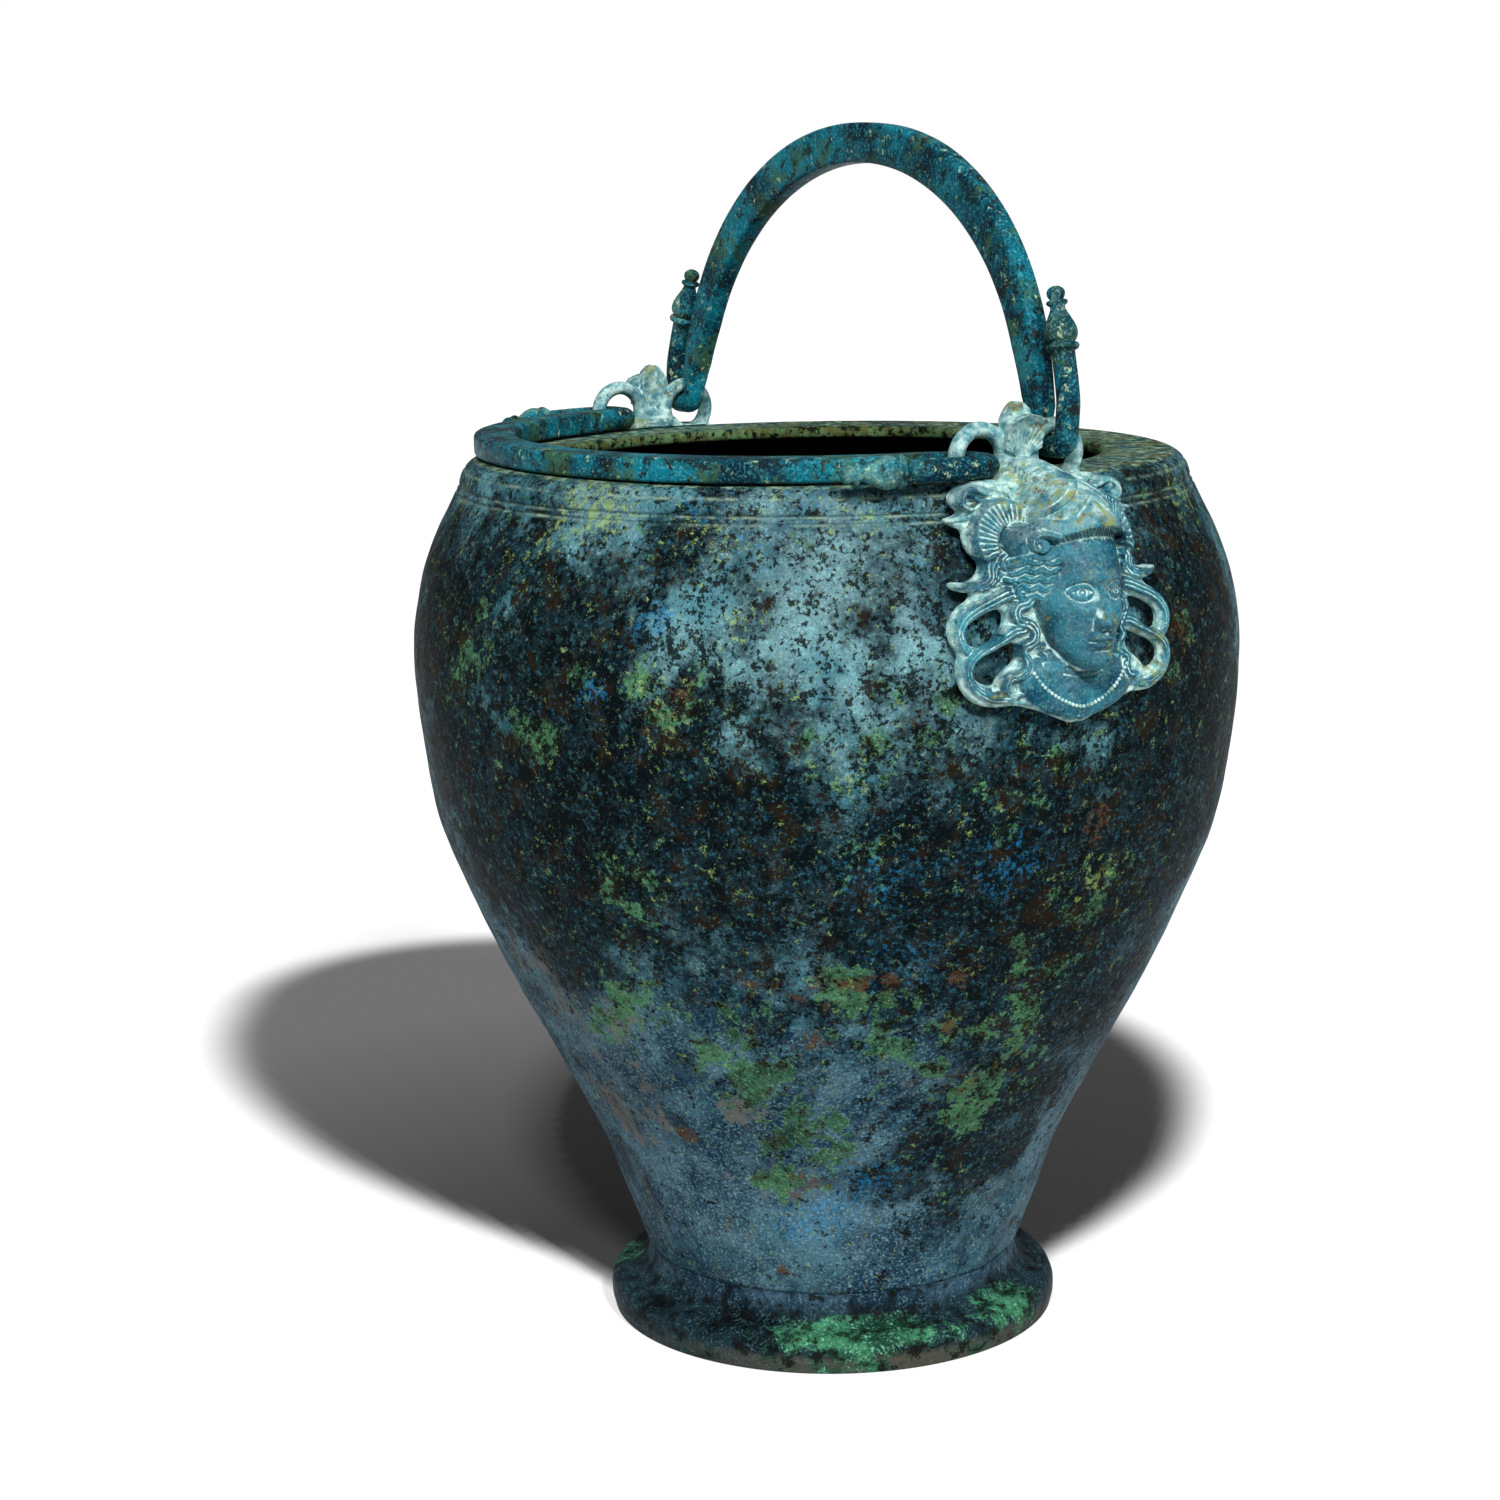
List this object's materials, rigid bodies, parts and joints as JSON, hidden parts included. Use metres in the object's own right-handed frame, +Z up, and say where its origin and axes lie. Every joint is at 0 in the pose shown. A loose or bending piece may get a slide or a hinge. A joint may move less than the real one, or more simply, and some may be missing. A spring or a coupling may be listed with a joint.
{
  "type": "situla",
  "caption": "Ancient bronze bucket with an ovoid body, flat in-turned rim and cast foot, and swing handles hung in the rings of attachments with a helmeted head in relief.",
  "frame": {"origin": "centre of the foot's underside, on the surface the vessel stands on", "axes": "+Z up; the attachments are on -Y (front) and +Y (back), and each bail swings about a line parallel to Y"},
  "size_m": [0.255, 0.3002, 0.3705],
  "materials": {
    "body_bronze": "blue-grey patina with dark pits and green patches, half matt",
    "foot_bronze": "dark blue-green patina with a malachite band, half matt",
    "mask_bronze": "pale turquoise patina with whitish deposit in the recesses, matt",
    "bail_bronze": "deep teal patina with pale speckles, half matt",
    "solder": "dull grey lead-tin solder"
  },
  "bodies": {
    "vessel": {"vessel_body": "body_bronze", "foot_ring": "foot_bronze", "foot_solder": "solder", "front_attachment": "mask_bronze", "back_attachment": "mask_bronze", "front_solder": "solder", "back_solder": "solder"},
    "left_bail_body": {"left_bail": "bail_bronze"},
    "right_bail_body": {"right_bail": "bail_bronze"}
  },
  "joints": [
    {"name": "left_bail_swing", "type": "hinge", "parent": "vessel", "child": "left_bail_body", "pos_m": [-0.0145, 0, 0.2764], "axis": [0, 1, 0], "range_deg": [0, 95]},
    {"name": "right_bail_swing", "type": "hinge", "parent": "vessel", "child": "right_bail_body", "pos_m": [0.0105, 0, 0.28], "axis": [0, 1, 0], "range_deg": [-8.4, 89]}
  ]
}
